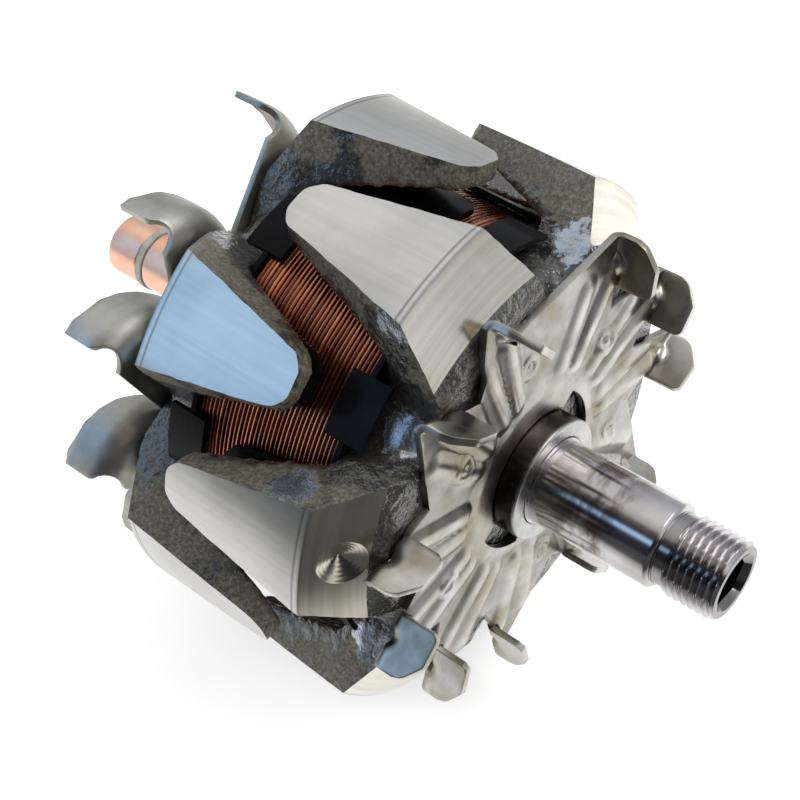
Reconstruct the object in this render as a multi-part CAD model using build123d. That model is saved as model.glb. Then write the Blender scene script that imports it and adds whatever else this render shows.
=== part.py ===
from build123d import *
import os
from math import asin, atan2, cos, degrees, pi, radians, sin, tan

# Claw-pole rotor of a vehicle alternator, lengths in millimetres.
# X is the shaft axis, +X the drive end, and x = 0 the middle of the pole body.
# Angles round the shaft are counted from -Y towards +Z.
# The finished pieces are moved so that the origin is at the front bearing seat.

os.makedirs("parts", exist_ok=True)

# Pole body
POLE_PAIRS = 6
POLE_R = 54.5
FACE_X = 30.0
CORE_HALF = 16.8
CORE_R = 26.0
FRONT_PHASE = 71.8
PITCH = 360 / POLE_PAIRS
REAR_PHASE = FRONT_PHASE - PITCH / 2

# Claw
TIP_REACH = 10.2
TIP_HALF_ANGLE = 4.85
ROOT_HALF_ANGLE = 12.0
TIP_THICKNESS = 4.2
TIP_CORNER = 2.2
TIP_EDGE = 0.5
SHOULDER_X = 22.0
SHOULDER_END_X = 28.5
SHOULDER_END_R = 44.0
FACE_EDGE_R = 41.0
FLANK_FLARE = 3.2
TIP_FLARE = 1.1
UNDERSIDE_R = 44.2
VALLEY_R = 39.0
VALLEY_FRONT_R = 34.0
DIMPLE_D = 9.4
DIMPLE_DEPTH = 2.6
DIMPLE_X = 26.0
DIMPLE_CLAW = 1

# Shaft
BODY_SEAT_R = 9.5
FRONT_SEAT_R = 8.5
FRONT_COLLAR_SEAT_R = 9.0
REAR_SEAT_R = 7.5
REAR_COLLAR_SEAT_R = 8.2
THREAD_R = 8.0
THREAD_ROOT_R = 7.15
STUB_R = 3.5
JOURNAL_END_X = 62.3
RELIEF_LENGTH = 2.2
SHAFT_FRONT_X = 75.3
SHAFT_REAR_X = -57.0
STUB_END_X = -77.0
EDGE_BREAK = 0.6
SOCKET_FLATS = 9.0
SOCKET_DEPTH = 9.0
SOCKET_RIM_R = 5.8

# Bobbin and winding
BOBBIN_WALL = 1.4
FLANGE = 1.2
FLANGE_R = 43.0
WINDING_R = 42.0
WINDING_CORNER = 1.0
PETAL_R = 42.5
PETAL = 1.0
PETAL_REACH = 7.0
PETAL_MARGIN = 1.0
FLAP_CLEARANCE = 0.6
FLAP_INNER_X = 12.4
FLAP_OUTER_X = 21.0

# Front fan
FAN_SHEET = 1.4
FAN_HOLE_R = 12.9
FAN_NOTCH_R = 16.6
FAN_NOTCH_HALF_ANGLE = 26.0
FAN_NOTCH_ANGLES = (154, 310)
BLADE_OUT_R = 47.4
BLADE_IN_R = 37.9
BLADE_LEAN_ANGLE = 6.8
BLADE_HEIGHT = 8.2
BLADE_CROWN = 6.4
BLADE_SHOULDER = 4.9
ARM_NOTCH_R = 33.3
ARM_WIDE_NOTCH_R = 38.0
ARM_NOTCH_ANGLE = 6.0
WIDE_GAP_ANGLE = 40
FRONT_BLADE_ANGLES = (17.1, 53, 78, 125.8, 158.6, 183.1, 221, 248, 286, 317.7, 347.4)
GUSSET_R = 1.4
GUSSET_LEG = 2.8
GUSSET_FLATS = 8
GUSSET_PLACE = 0.42
WELD_R = 27.6
WELD_PAD_R = 3.0
WELD_PAD = 0.5
WELD_ANGLES = (37, 83, 139, 199, 259, 339)
RIB_LENGTH = 13.0
RIB_WIDTH = 2.6
RIB_HEIGHT = 0.7
RIB_R = 30.0
RIB_LAG_ANGLE = 9.0

# Rear fan
REAR_SHEET = 1.2
REAR_HOLE_R = 13.0
REAR_TIP_X = -42.0
REAR_TIP_R = 52.0
REAR_CREST_DROP = 2.0
REAR_CREST_SPAN = 9.0
REAR_SHEAR_DROP = 4.0
REAR_SHEAR_SPAN = 13.0
REAR_BEND = 4.7
REAR_BEND_FLATS = 3
REAR_CURL_R = 16.6
REAR_CURL_ANGLE = 30.0
REAR_FOOT_ANGLES = (25.2, 113.4)
REAR_BLADE_ANGLES = (26.4, 54.7, 90.4, 145, 172, 203, 229, 262, 289, 321, 353.4)

# Collars
COLLAR_R = 12.5
FRONT_COLLAR_X = 36.4
REAR_COLLAR_X = -36.8
COLLAR_BREAK = 0.5

# Slip rings
RING_R = 6.8
RING_BORE_R = 5.6
OUTER_RING_START = -79.0
RING_WIDTH = 8.8
RING_GAP = 1.6
RING_BARRIER_R = 7.05
RING_END_FLANGE = 2.0
RING_BREAK = 0.4

# Leads
SLOT_WIDTH = 2.6
SLOT_FLOOR_R = 4.1
BAR_WIDTH = 1.6
BAR_FLOOR_R = 4.2
BAR_TOP_R = 5.2
BAR_LAP = 7.0
WIRE_R = 0.55
SLEEVE_BORE_R = 0.65
SLEEVE_R = 1.1
LEAD_HOLE_R = 1.4
LEAD_GROOVE = 2 * LEAD_HOLE_R
LEAD_EXIT_R = 31.0
LEAD_BEND = 1.1
LEAD_ANGLES = (FRONT_PHASE, FRONT_PHASE + 180)


def across(x):
    return Plane(origin=(x, 0, 0), x_dir=(0, 1, 0), z_dir=(1, 0, 0))


def polar(r, angle):
    return (-r * cos(radians(angle)), r * sin(radians(angle)))


def on_cylinder(x, r, angle):
    y, z = polar(r, angle)
    return (x, y, z)


def about_shaft(angle):
    """Turns a shape built towards +Z to the given angle round the shaft."""
    return Rot(90 - angle, 0, 0)


def rod(x0, x1, r):
    return extrude(across(x0) * Circle(r), amount=x1 - x0)


def tube(x0, x1, r_out, r_in):
    return rod(x0, x1, r_out) - rod(x0, x1, r_in)


def raised(sketch, amount):
    return extrude(sketch, amount=amount, dir=(1, 0, 0))


def turned(profile):
    face = Plane.XZ * Polygon(*profile, align=None)
    return revolve(face, axis=Axis.X)


def mirrored(shape):
    return mirror(shape, about=Plane.YZ)


def half_width(x, r, flare):
    """Half width of a claw at station x: tapered to the tip, parallel past the shoulder."""
    share = min(max((x + TIP_REACH) / (SHOULDER_X + TIP_REACH), 0), 1)
    angle = TIP_HALF_ANGLE + share * (ROOT_HALF_ANGLE - TIP_HALF_ANGLE)
    tip_share = TIP_FLARE / FLANK_FLARE
    return r * sin(radians(angle)) + flare * (tip_share + (1 - tip_share) * share)


def claw_plan(z, x_tip, x_end, r, flare):
    """Outline of a claw seen along the radius, with its tip corners cut."""
    shoulder = min(SHOULDER_X, x_end)
    side = [
        (x_tip, half_width(x_tip, r, flare) - TIP_CORNER),
        (x_tip + TIP_CORNER, half_width(x_tip + TIP_CORNER, r, flare)),
        (shoulder, half_width(shoulder, r, flare)),
    ]
    if x_end > SHOULDER_X:
        side.append((x_end, half_width(x_end, r, flare)))
    other_side = [(x, -y) for x, y in reversed(side)]
    return Plane.XY.offset(z) * Polygon(*(side + other_side), align=None)


def claw():
    """One claw of the front half, towards +Z."""
    low = VALLEY_FRONT_R * cos(radians(PITCH / 2))
    flare = FLANK_FLARE * (POLE_R - low) / (POLE_R - UNDERSIDE_R)
    blank = loft([
        claw_plan(low, -TIP_REACH, FACE_X, POLE_R, flare).face(),
        claw_plan(POLE_R, -TIP_REACH, FACE_X, POLE_R, 0).face(),
    ], ruled=True)
    form = turned([
        (-TIP_REACH, POLE_R - TIP_THICKNESS),
        (-TIP_REACH, POLE_R - TIP_EDGE),
        (-TIP_REACH + TIP_EDGE, POLE_R),
        (SHOULDER_X, POLE_R),
        (SHOULDER_END_X, SHOULDER_END_R),
        (FACE_X, FACE_EDGE_R),
        (FACE_X, low),
        (CORE_HALF, low),
        (CORE_HALF, UNDERSIDE_R),
    ])
    return blank & form


def valley_half_width(r):
    """Half width at radius r of the open valley between the roots of two claws."""
    slant = FLANK_FLARE / (POLE_R - UNDERSIDE_R)
    reach = POLE_R * (sin(radians(ROOT_HALF_ANGLE)) + slant) / (r * (1 + slant ** 2) ** 0.5)
    flank_angle = degrees(asin(reach) - atan2(slant, 1))
    return r * sin(radians(PITCH / 2 - flank_angle))


def dimple():
    """Balancing cone drilled square to the shoulder of a claw that points to +Z."""
    slope = degrees(atan2(POLE_R - SHOULDER_END_R, SHOULDER_END_X - SHOULDER_X))
    r = POLE_R - (DIMPLE_X - SHOULDER_X) * tan(radians(slope))
    cone = Cone(DIMPLE_D / 2, 0, DIMPLE_DEPTH, align=(Align.CENTER, Align.CENTER, Align.MIN))
    return Pos(DIMPLE_X, 0, r) * Rot(0, 180 + slope, 0) * cone


def claw_pole(phase, x_sign):
    half = turned([
        (CORE_HALF, BODY_SEAT_R),
        (CORE_HALF, VALLEY_R),
        (FACE_X - (VALLEY_R - VALLEY_FRONT_R), VALLEY_R),
        (FACE_X, VALLEY_FRONT_R),
        (FACE_X, BODY_SEAT_R),
    ])
    arm = claw()
    for k in range(POLE_PAIRS):
        half += about_shaft(phase + k * PITCH) * arm
    return half if x_sign > 0 else mirrored(half)


def shaft():
    relief_x = JOURNAL_END_X + RELIEF_LENGTH
    thread_break = THREAD_R - THREAD_ROOT_R
    body = turned([
        (STUB_END_X, 0),
        (STUB_END_X, STUB_R),
        (SHAFT_REAR_X, STUB_R),
        (SHAFT_REAR_X, REAR_SEAT_R - EDGE_BREAK),
        (SHAFT_REAR_X + EDGE_BREAK, REAR_SEAT_R),
        (REAR_COLLAR_X, REAR_SEAT_R),
        (REAR_COLLAR_X, REAR_COLLAR_SEAT_R),
        (-FACE_X, REAR_COLLAR_SEAT_R),
        (-FACE_X, BODY_SEAT_R),
        (FACE_X, BODY_SEAT_R),
        (FACE_X, FRONT_COLLAR_SEAT_R),
        (FRONT_COLLAR_X, FRONT_COLLAR_SEAT_R),
        (FRONT_COLLAR_X, FRONT_SEAT_R),
        (JOURNAL_END_X - EDGE_BREAK, FRONT_SEAT_R),
        (JOURNAL_END_X, FRONT_SEAT_R - EDGE_BREAK),
        (JOURNAL_END_X, THREAD_ROOT_R),
        (relief_x, THREAD_ROOT_R),
        (relief_x + thread_break, THREAD_R),
        (SHAFT_FRONT_X - thread_break, THREAD_R),
        (SHAFT_FRONT_X, THREAD_ROOT_R),
        (SHAFT_FRONT_X, 0),
    ])
    socket_r = SOCKET_FLATS / 2 / cos(pi / 6)
    socket = across(SHAFT_FRONT_X - SOCKET_DEPTH) * RegularPolygon(socket_r, 6)
    body -= raised(socket, SOCKET_DEPTH)
    rim = SOCKET_RIM_R - SOCKET_FLATS / 2
    body -= turned([
        (SHAFT_FRONT_X - rim, 0),
        (SHAFT_FRONT_X - rim, SOCKET_FLATS / 2),
        (SHAFT_FRONT_X, SOCKET_RIM_R),
        (SHAFT_FRONT_X, 0),
    ])
    for angle in LEAD_ANGLES:
        body -= about_shaft(angle) * lead_slot()
    return body


def lead_slot():
    """Slot in the rear of the shaft that carries one lead, towards +Z."""
    length = -FACE_X + LEAD_GROOVE - SHAFT_REAR_X
    slot = Box(length, SLOT_WIDTH, BODY_SEAT_R, align=(Align.MIN, Align.CENTER, Align.MIN))
    return Pos(SHAFT_REAR_X, 0, SLOT_FLOOR_R) * slot


def lead_path(x_start, x_end):
    """Centre line of a lead: out of the winding, down the rear face, along the shaft slot."""
    turn_x = -FACE_X + LEAD_HOLE_R
    inner_r = BAR_TOP_R + WIRE_R
    return Polyline(
        (x_start, 0, LEAD_EXIT_R),
        (turn_x + LEAD_BEND, 0, LEAD_EXIT_R),
        (turn_x, 0, LEAD_EXIT_R - LEAD_BEND),
        (turn_x, 0, inner_r + LEAD_BEND),
        (turn_x - LEAD_BEND, 0, inner_r),
        (x_end, 0, inner_r),
    )


def along(path, r):
    start = Plane(origin=path @ 0, z_dir=path % 0)
    return sweep(start * Circle(r), path=path, transition=Transition.RIGHT)


def rear_pole_with_leads():
    half = claw_pole(REAR_PHASE, -1)
    for angle in LEAD_ANGLES:
        hole = Pos(0, 0, LEAD_EXIT_R) * rod(-FACE_X, -CORE_HALF, LEAD_HOLE_R)
        groove = Box(LEAD_GROOVE, 2 * LEAD_HOLE_R, LEAD_EXIT_R,
                     align=(Align.MIN, Align.CENTER, Align.MIN))
        half -= about_shaft(angle) * (hole + Pos(-FACE_X, 0, 0) * groove)
    return half


def bobbin():
    spool = tube(-CORE_HALF, CORE_HALF, CORE_R + BOBBIN_WALL, CORE_R)
    rim = PETAL_R + PETAL
    side = tube(CORE_HALF - FLANGE, CORE_HALF, FLANGE_R, CORE_R)
    petal = extrude(claw_plan(0, -PETAL_REACH, CORE_HALF, UNDERSIDE_R, PETAL_MARGIN), amount=POLE_R)
    flap = Pos(FLAP_INNER_X, 0, 0) * Box(
        FLAP_OUTER_X - FLAP_INNER_X, 2 * (valley_half_width(rim) - FLAP_CLEARANCE), POLE_R,
        align=(Align.MIN, Align.CENTER, Align.MIN))
    skin = tube(-CORE_HALF, FLAP_OUTER_X, rim, PETAL_R)
    for k in range(POLE_PAIRS):
        side += about_shaft(FRONT_PHASE + k * PITCH) * (petal & skin)
        side += about_shaft(REAR_PHASE + k * PITCH) * (flap & skin)
    rear = Rot(PITCH / 2, 0, 0) * mirrored(side)
    for angle in LEAD_ANGLES:
        hole = Pos(0, 0, LEAD_EXIT_R) * rod(-CORE_HALF, -CORE_HALF + FLANGE, WIRE_R)
        rear -= about_shaft(angle) * hole
    return spool + side + rear


def winding():
    half = CORE_HALF - FLANGE
    inner = CORE_R + BOBBIN_WALL
    return turned([
        (-half, inner),
        (-half, WINDING_R - WINDING_CORNER),
        (-half + WINDING_CORNER, WINDING_R),
        (half - WINDING_CORNER, WINDING_R),
        (half, WINDING_R - WINDING_CORNER),
        (half, inner),
    ])


def gap_after(angles, i):
    return (angles[(i + 1) % len(angles)] - angles[i]) % 360


def fan_hole():
    """Central hole, widened over two arcs where the sheet clears the balancing tools."""
    hole = Circle(FAN_HOLE_R)
    reach = FAN_NOTCH_R / cos(radians(FAN_NOTCH_HALF_ANGLE))
    for angle in FAN_NOTCH_ANGLES:
        wedge = Polygon((0, 0), polar(reach, angle - FAN_NOTCH_HALF_ANGLE),
                        polar(reach, angle + FAN_NOTCH_HALF_ANGLE), align=None)
        hole += Circle(FAN_NOTCH_R) & wedge
    return hole


def front_fan():
    """Star-shaped sheet with one blade folded up from the leading edge of each arm."""
    outline = []
    for i, phi in enumerate(FRONT_BLADE_ANGLES):
        wide = gap_after(FRONT_BLADE_ANGLES, i) > WIDE_GAP_ANGLE
        outline.append(polar(BLADE_OUT_R, phi - BLADE_LEAN_ANGLE))
        outline.append(polar(BLADE_IN_R, phi))
        outline.append(polar(ARM_WIDE_NOTCH_R if wide else ARM_NOTCH_R, phi + ARM_NOTCH_ANGLE))
    sheet = Polygon(*outline, align=None) - fan_hole()
    fan = raised(across(FACE_X) * sheet, FAN_SHEET)
    front = across(FACE_X + FAN_SHEET)
    for phi in FRONT_BLADE_ANGLES:
        fan += front_blade(phi)
        along_arm = Pos(*polar(RIB_R, phi - RIB_LAG_ANGLE)) * Rot(0, 0, 180 - phi + RIB_LAG_ANGLE)
        fan += raised(front * along_arm * rib_plan(), RIB_HEIGHT)
    for angle in WELD_ANGLES:
        fan += raised(front * Pos(*polar(WELD_R, angle)) * Circle(WELD_PAD_R), WELD_PAD)
    return fan


def rib_plan():
    """Long hexagon with its points along the arm."""
    side = [(-RIB_LENGTH / 2, 0), (-(RIB_LENGTH - RIB_WIDTH) / 2, RIB_WIDTH / 2)]
    top = side + [(-x, y) for x, y in reversed(side)]
    return Polygon(*(top + [(x, -y) for x, y in reversed(top[1:-1])]), align=None)


def front_blade(phi):
    """Blade standing on the fold line, its outer corner cut back, with a gusset in the fold."""
    root = Vector(on_cylinder(FACE_X, BLADE_IN_R, phi))
    rim = Vector(on_cylinder(FACE_X, BLADE_OUT_R, phi - BLADE_LEAN_ANGLE))
    fold = (rim - root).normalized()
    length = (rim - root).length
    plane = Plane(origin=root, x_dir=fold, z_dir=fold.cross(Vector(1, 0, 0)))
    top = FAN_SHEET + BLADE_HEIGHT
    shape = Polygon((0, 0), (0, top), (BLADE_CROWN, top), (length, FAN_SHEET + BLADE_SHOULDER),
                    (length, 0), align=None)
    middle = (length * GUSSET_PLACE, FAN_SHEET + GUSSET_LEG / 2, -(FAN_SHEET + GUSSET_LEG) / 2)
    ridge = extrude(RegularPolygon(GUSSET_R, GUSSET_FLATS), amount=GUSSET_LEG, both=True)
    ridge = Pos(*middle) * Rot(-45, 0, 0) * ridge
    corner = Pos(middle[0], FAN_SHEET / 2, 0) * Box(
        length, 2 * GUSSET_LEG, 2 * GUSSET_LEG, align=(Align.CENTER, Align.MIN, Align.MAX))
    return extrude(plane * shape, amount=FAN_SHEET / 2, both=True) + plane * (ridge & corner)


def rear_fan():
    blade = rear_blade()
    outline = []
    for phi in REAR_BLADE_ANGLES:
        for direction in REAR_FOOT_ANGLES:
            y, z = rear_foot(direction)
            outline.append(polar((y * y + z * z) ** 0.5, phi + degrees(atan2(y, z))))
    sheet = Polygon(*outline, align=None) - Circle(REAR_HOLE_R)
    fan = raised(across(-FACE_X - REAR_SHEET) * sheet, REAR_SHEET)
    for phi in REAR_BLADE_ANGLES:
        fan += about_shaft(phi) * blade
    return fan


def rear_curl_centre():
    """Centre (y, z) of the curl of a rear blade whose tip points to +Z."""
    lean = radians(REAR_CURL_ANGLE)
    return (-REAR_CURL_R * sin(lean), REAR_TIP_R - REAR_CURL_R * cos(lean))


def rear_foot(direction):
    """Point (y, z) of the fold line, in a direction from the curl's centre, +Z towards +Y."""
    y, z = rear_curl_centre()
    fold_r = REAR_CURL_R - REAR_BEND
    return (y + fold_r * sin(radians(direction)), z + fold_r * cos(radians(direction)))


def rear_bend(offset):
    """Points (x, r) of the bend between disc and wall, offset outwards from its middle."""
    middle_x = -FACE_X - REAR_SHEET / 2 - REAR_BEND
    points = []
    for k in range(REAR_BEND_FLATS + 1):
        a = pi / 2 * k / REAR_BEND_FLATS
        r = REAR_BEND + offset
        points.append((middle_x + r * cos(a), REAR_CURL_R - REAR_BEND + r * sin(a)))
    return points


def rear_blade():
    """Blade towards +Z: a curled wall bent up from the disc, its free edges cut to shape."""
    half = REAR_SHEET / 2
    outside = rear_bend(half) + [(REAR_TIP_X, REAR_CURL_R + half)]
    inside = rear_bend(-half) + [(REAR_TIP_X, REAR_CURL_R - half)]
    foot = [(-FACE_X - REAR_SHEET, REAR_SHEET), (-FACE_X, REAR_SHEET)]
    y, z = rear_curl_centre()
    curl = Pos(0, y, z) * turned(outside + inside[::-1] + foot)
    out_y, out_z = rear_foot(REAR_FOOT_ANGLES[0])
    in_y, in_z = rear_foot(REAR_FOOT_ANGLES[1])
    envelope = turned([
        (-FACE_X, (in_y ** 2 + in_z ** 2) ** 0.5 - REAR_SHEET),
        (-FACE_X, (out_y ** 2 + out_z ** 2) ** 0.5),
        (-FACE_X - REAR_BEND, REAR_TIP_R),
        (REAR_TIP_X, REAR_TIP_R),
        (REAR_TIP_X + REAR_CREST_DROP, REAR_TIP_R - REAR_CREST_SPAN),
        (REAR_TIP_X + REAR_SHEAR_DROP, REAR_TIP_R - REAR_SHEAR_SPAN),
    ])
    ahead = Box(-REAR_TIP_X, REAR_TIP_R, REAR_TIP_R, align=(Align.MAX, Align.MIN, Align.MIN))
    return curl & envelope & (Pos(0, out_y, 0) * ahead)


def collar(x_seat, x_end, bore):
    lo, hi = sorted((x_seat, x_end))
    return turned([
        (lo, bore),
        (lo, COLLAR_R - COLLAR_BREAK),
        (lo + COLLAR_BREAK, COLLAR_R),
        (hi - COLLAR_BREAK, COLLAR_R),
        (hi, COLLAR_R - COLLAR_BREAK),
        (hi, bore),
    ])


def slip_ring(x0):
    x1 = x0 + RING_WIDTH
    return turned([
        (x0, RING_BORE_R),
        (x0, RING_R - RING_BREAK),
        (x0 + RING_BREAK, RING_R),
        (x1 - RING_BREAK, RING_R),
        (x1, RING_R - RING_BREAK),
        (x1, RING_BORE_R),
    ])


def ring_starts():
    return (OUTER_RING_START, OUTER_RING_START + RING_WIDTH + RING_GAP)


def slip_ring_body():
    """Moulded carrier with a barrier between the rings and a flange at the bearing seat."""
    outer, inner = ring_starts()
    flange_x = inner + RING_WIDTH
    body = turned([
        (outer, 0),
        (outer, RING_BORE_R),
        (outer + RING_WIDTH, RING_BORE_R),
        (outer + RING_WIDTH, RING_BARRIER_R),
        (inner, RING_BARRIER_R),
        (inner, RING_BORE_R),
        (flange_x, RING_BORE_R),
        (flange_x, RING_BARRIER_R),
        (flange_x + RING_END_FLANGE, RING_BARRIER_R),
        (SHAFT_REAR_X, REAR_SEAT_R - EDGE_BREAK),
        (SHAFT_REAR_X, 0),
    ])
    body -= rod(STUB_END_X, SHAFT_REAR_X, STUB_R)
    for start, angle in zip(ring_starts(), LEAD_ANGLES):
        body -= about_shaft(angle) * terminal(start)
    return body


def terminal(ring_x):
    """Bar that joins one ring to its lead, with a raised pad under the ring."""
    pad_length = RING_WIDTH / 3
    pad_x = ring_x + pad_length
    end = SHAFT_REAR_X + BAR_LAP
    low = (Align.MIN, Align.CENTER, Align.MIN)
    bar = Box(end - pad_x, BAR_WIDTH, BAR_TOP_R - BAR_FLOOR_R, align=low)
    pad_top = (RING_BORE_R ** 2 - (BAR_WIDTH / 2) ** 2) ** 0.5
    pad = Box(pad_length, BAR_WIDTH, pad_top - BAR_FLOOR_R, align=low)
    return Pos(pad_x, 0, BAR_FLOOR_R) * (bar + pad)


def place_terminal(i):
    return about_shaft(LEAD_ANGLES[i]) * terminal(ring_starts()[i])


def lead_wire(i):
    path = lead_path(-CORE_HALF + FLANGE, SHAFT_REAR_X + 1)
    return about_shaft(LEAD_ANGLES[i]) * along(path, WIRE_R)


def lead_sleeve(i):
    path = lead_path(-CORE_HALF, SHAFT_REAR_X + BAR_LAP + SLEEVE_R)
    sleeve = along(path, SLEEVE_R) - along(path, SLEEVE_BORE_R)
    return about_shaft(LEAD_ANGLES[i]) * sleeve


front_pole = claw_pole(FRONT_PHASE, 1)
front_pole -= about_shaft(FRONT_PHASE - DIMPLE_CLAW * PITCH) * dimple()

pieces = {
    "shaft": shaft(),
    "pole_core": tube(-CORE_HALF, CORE_HALF, CORE_R, BODY_SEAT_R),
    "front_claw_pole": front_pole,
    "rear_claw_pole": rear_pole_with_leads(),
    "coil_bobbin": bobbin(),
    "field_winding": winding(),
    "front_fan": front_fan(),
    "rear_fan": rear_fan(),
    "front_collar": collar(FACE_X, FRONT_COLLAR_X, FRONT_COLLAR_SEAT_R),
    "rear_collar": collar(-FACE_X, REAR_COLLAR_X, REAR_COLLAR_SEAT_R),
    "slip_ring_outer": slip_ring(ring_starts()[0]),
    "slip_ring_inner": slip_ring(ring_starts()[1]),
    "slip_ring_body": slip_ring_body(),
    "terminal_a": place_terminal(0),
    "terminal_b": place_terminal(1),
    "lead_wire_a": lead_wire(0),
    "lead_wire_b": lead_wire(1),
    "lead_sleeve_a": lead_sleeve(0),
    "lead_sleeve_b": lead_sleeve(1),
}

to_front_seat = Pos(-FRONT_COLLAR_X, 0, 0)
for name, shape in pieces.items():
    export_step(to_front_seat * shape, "parts/" + name + ".step")
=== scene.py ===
from math import cos, pi, radians, sin

import bmesh
import bpy
import numpy as np
from mathutils import Matrix, Vector
from mathutils import noise as blender_noise
from mathutils.geometry import delaunay_2d_cdt

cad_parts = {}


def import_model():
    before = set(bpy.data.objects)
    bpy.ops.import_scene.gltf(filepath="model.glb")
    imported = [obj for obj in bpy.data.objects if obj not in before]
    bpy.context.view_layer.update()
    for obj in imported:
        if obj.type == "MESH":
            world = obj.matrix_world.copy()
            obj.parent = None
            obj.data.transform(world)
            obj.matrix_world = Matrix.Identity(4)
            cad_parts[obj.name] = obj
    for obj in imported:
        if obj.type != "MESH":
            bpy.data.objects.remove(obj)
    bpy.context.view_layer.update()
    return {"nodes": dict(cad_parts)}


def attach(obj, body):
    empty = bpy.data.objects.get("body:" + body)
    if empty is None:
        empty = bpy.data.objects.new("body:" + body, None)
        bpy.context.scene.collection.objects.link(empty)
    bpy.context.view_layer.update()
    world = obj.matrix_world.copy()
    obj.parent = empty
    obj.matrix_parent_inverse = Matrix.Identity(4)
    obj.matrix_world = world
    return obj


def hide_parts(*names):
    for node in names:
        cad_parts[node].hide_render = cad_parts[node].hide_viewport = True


# Looks of the claw-pole rotor. Lengths are in millimetres, along the shaft (X) from the middle
# of the pole body. Angles round the shaft run from -Y towards +Z. place() turns such a point
# into the row frame, in metres.

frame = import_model()

MM = 0.001
SEAT_X = 36.4

# Pole body
POLE_PAIRS = 6
PITCH = 360 / POLE_PAIRS
POLE_R = 54.5
FACE_X = 30.0
CORE_HALF = 16.8
FRONT_PHASE = 71.8
REAR_PHASE = FRONT_PHASE - PITCH / 2
BODY_SEAT_R = 9.5
TIP_REACH = 10.2
TIP_HALF_ANGLE = 4.85
ROOT_HALF_ANGLE = 12.0
TIP_THICKNESS = 4.2
TIP_CORNER = 2.2
SHOULDER_X = 22.0
SHOULDER_END_X = 28.5
SHOULDER_END_R = 44.0
FACE_EDGE_R = 41.0
FLANK_FLARE = 3.2
TIP_FLARE = 1.1
UNDERSIDE_R = 44.2
VALLEY_R = 39.0
VALLEY_FRONT_R = 34.0
DIMPLE_R = 4.7
DIMPLE_DEPTH = 2.6
DIMPLE_X = 26.0
DIMPLE_CLAW = 1
DIMPLE_RINGS = 13
DIMPLE_STEP = 0.016
FORGING_ALLOWANCE = 2.5
FORGING_VOXEL = 0.85
FORGING_RELIEF = 0.16
FORGING_GRAIN = 260.0
HUB_BORE_R = 6.0
ON_FACE = 0.02

# Shaft
FRONT_SEAT_R = 8.5
FRONT_COLLAR_SEAT_R = 9.0
REAR_SEAT_R = 7.5
REAR_COLLAR_SEAT_R = 8.2
THREAD_R = 8.0
THREAD_ROOT_R = 7.15
THREAD_PITCH = 1.5
THREAD_FLANK = 1.12
THREAD_ROOT_FLAT = 0.06
THREAD_STEP = 0.1
STUB_R = 3.5
JOURNAL_END_X = 62.3
RELIEF_END_X = 64.5
SHAFT_FRONT_X = 75.3
SHAFT_REAR_X = -57.0
STUB_END_X = -77.0
FRONT_COLLAR_X = 36.4
REAR_COLLAR_X = -36.8
COLLAR_R = 12.5
EDGE_BREAK = 0.6
CORNER_EASE = 0.12
FLAT_HOLD = 0.3
SOCKET_FLATS = 9.0
SOCKET_DEPTH = 9.0
SOCKET_POINT = 1.2
SOCKET_RIM_R = 5.8
SLOT_WIDTH = 2.6
SLOT_FLOOR_R = 4.1
SLOT_END_X = -27.2

# Winding
WINDING_HALF = 15.6
WINDING_R = 42.0
WINDING_INNER_R = 27.4
WIRE_PITCH = 0.92
WIRE_DEPTH = 0.44
WIRE_UNEVEN = 0.12
WIRE_SAMPLES = 7

# Slip rings
RING_R = 6.8
RING_BORE_R = 5.6
RING_STARTS = (-79.0, -68.6)
RING_WIDTH = 8.8
RING_EDGE = 0.5

# Front fan
FAN_SHEET = 1.4
FAN_HOLE_R = 12.9
FAN_NOTCH_R = 16.6
FAN_NOTCH_HALF_ANGLE = 26.0
FAN_NOTCH_ANGLES = (154, 310)
BLADE_OUT_R = 47.4
BLADE_IN_R = 37.9
BLADE_LEAN_ANGLE = 6.8
BLADE_HEIGHT = 8.2
BLADE_CROWN = 6.4
BLADE_SHOULDER = 4.9
BLADE_CORNER = 1.4
ARM_NOTCH_R = 33.3
ARM_WIDE_NOTCH_R = 38.0
ARM_NOTCH_ANGLE = 6.0
WIDE_GAP_ANGLE = 40
FRONT_BLADE_ANGLES = (17.1, 53, 78, 125.8, 158.6, 183.1, 221, 248, 286, 317.7, 347.4)
FOLD_R = 1.5
GUSSET_R = 2.7
GUSSET_HEIGHT = 1.25
GUSSET_PLACE = 0.46
WELD_R = 27.6
WELD_PAD_R = 3.1
WELD_PAD = 0.55
WELD_RIM = 0.34
WELD_CENTRE = 0.8
WELD_ANGLES = (37, 83, 139, 199, 259, 339)
RIB_HEIGHT = 1.2
RIB_HALF_WIDTH = 3.3
RIB_START_R = 22.0
LEADING_RIB_END_R = 38.5
TRAILING_RIB_END_R = 37.0
LEADING_RIB_ANGLES = (6, 4)
TRAILING_RIB_SHARE = 0.8
TRAILING_RIB_ANGLE = 18
TRAILING_RIB_CLEAR = 3
TRAILING_RIB_TAPER = 0.85
HUB_RING_R = 19.0
HUB_RING = 0.5
FAN_EDGE = 0.28
BLADE_ROWS = 16

# Rear fan
REAR_SHEET = 1.2
REAR_EDGE = 0.25
REAR_COLUMNS = 24
REAR_HOLE_R = 13.0
REAR_TIP_X = -42.0
REAR_TIP_R = 52.0
REAR_EDGE_X = (-42.0, -41.6, -40.6, -39.0, -36.6, -33.5)
REAR_EDGE_R = (52.0, 48.0, 43.6, 40.0, 37.0, 34.6)
REAR_BEND = 4.7
REAR_CURL_R = 16.6
REAR_CURL_ANGLE = 30.0
REAR_FOOT_ANGLES = (25.2, 113.4)
REAR_BLADE_ANGLES = (26.4, 54.7, 90.4, 145, 172, 203, 229, 262, 289, 321, 353.4)

SHEET_GRID = 0.6

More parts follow.
